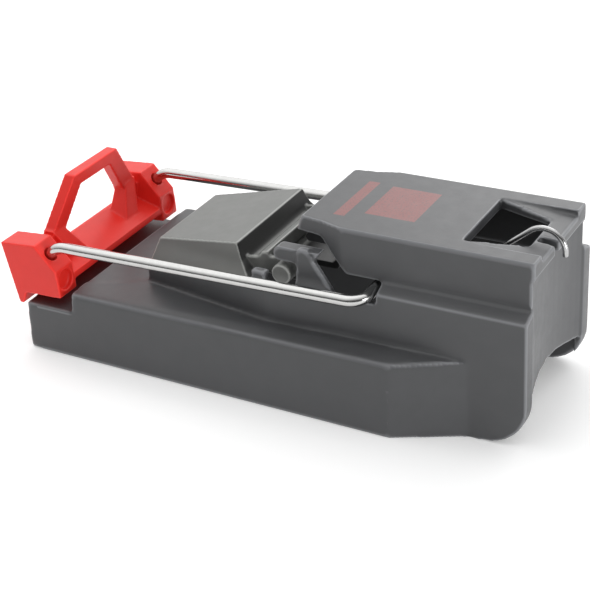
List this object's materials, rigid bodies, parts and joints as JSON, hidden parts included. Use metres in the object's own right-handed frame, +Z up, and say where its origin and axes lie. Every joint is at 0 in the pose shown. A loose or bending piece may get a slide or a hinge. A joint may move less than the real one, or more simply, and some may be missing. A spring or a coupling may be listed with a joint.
{
  "type": "snap mouse trap",
  "caption": "Plastic snap mouse trap: hollow body with hood, rocking trip pedal with bait trough, and a sprung wire bar with a striker and finger loop.",
  "frame": {"origin": "on the floor plane, under the middle of the bounding box", "axes": "+X along the body towards the hood, +Z up, Y across, with the striker on the -X end"},
  "size_m": [0.1251, 0.05, 0.0421],
  "materials": {
    "body": "fine satin grey moulding",
    "pedal": "satin lighter grey moulding",
    "striker": "semi-gloss red moulding",
    "steel_wire": "bright drawn and plated wire",
    "spring_wire": "bright spring wire",
    "cam": "dark moulding"
  },
  "bodies": {
    "base": {"body_shell": "body", "torsion_spring": "spring_wire"},
    "pedal": {"trip_pedal": "pedal"},
    "strike": {"strike_wire": "steel_wire", "striker_bar": "striker", "latch_cam": "cam"}
  },
  "joints": [
    {"name": "strike_swing", "type": "hinge", "parent": "base", "child": "strike", "pos_m": [0.0267, 0, 0.028], "axis": [0, 1, 0], "range_deg": [0, 110], "stiffness_Nm_per_rad": 0.12, "springref_deg": -68.75, "deforming": ["torsion_spring"]},
    {"name": "pedal_tilt", "type": "hinge", "parent": "base", "child": "pedal", "pos_m": [0.0064, 0, 0.0282], "axis": [0, 1, 0], "range_deg": [0, 5]}
  ]
}
